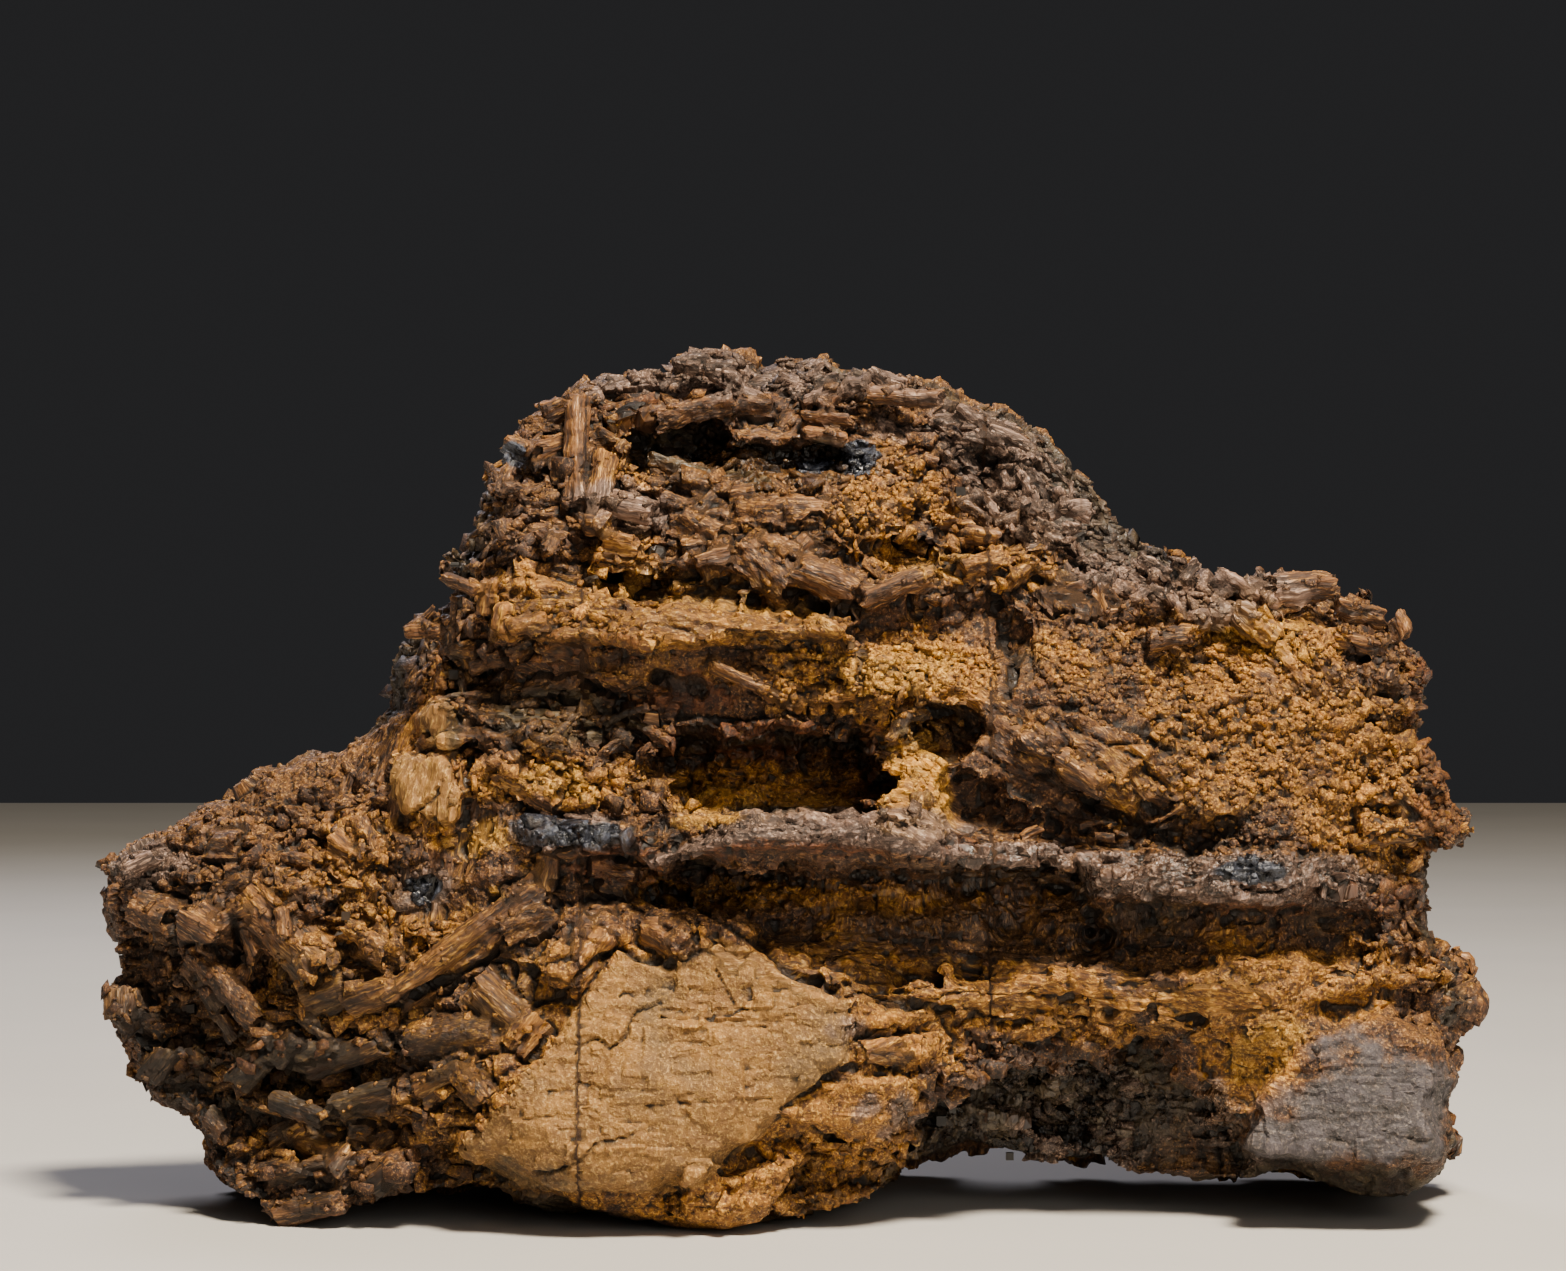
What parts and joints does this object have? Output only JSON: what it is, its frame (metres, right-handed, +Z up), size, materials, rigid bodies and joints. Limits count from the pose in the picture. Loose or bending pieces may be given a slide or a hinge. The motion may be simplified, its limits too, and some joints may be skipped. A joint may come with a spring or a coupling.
{
  "type": "mineral specimen",
  "caption": "Display block of limonite with a humped crown and a low wing, built of cemented stem casts round a cave, a shelf, a recess and a smooth clay-like plate.",
  "frame": {"origin": "middle of the bounding box, on the surface that the stone stands on", "axes": "+X to the right of the display side, +Y towards the back, +Z up"},
  "size_m": [0.4034, 0.1772, 0.2502],
  "materials": {
    "limonite": "dull, rough and earthy, with a few glossy dark pockets"
  },
  "bodies": {
    "root": {"limonite_stone": "limonite"}
  },
  "joints": []
}
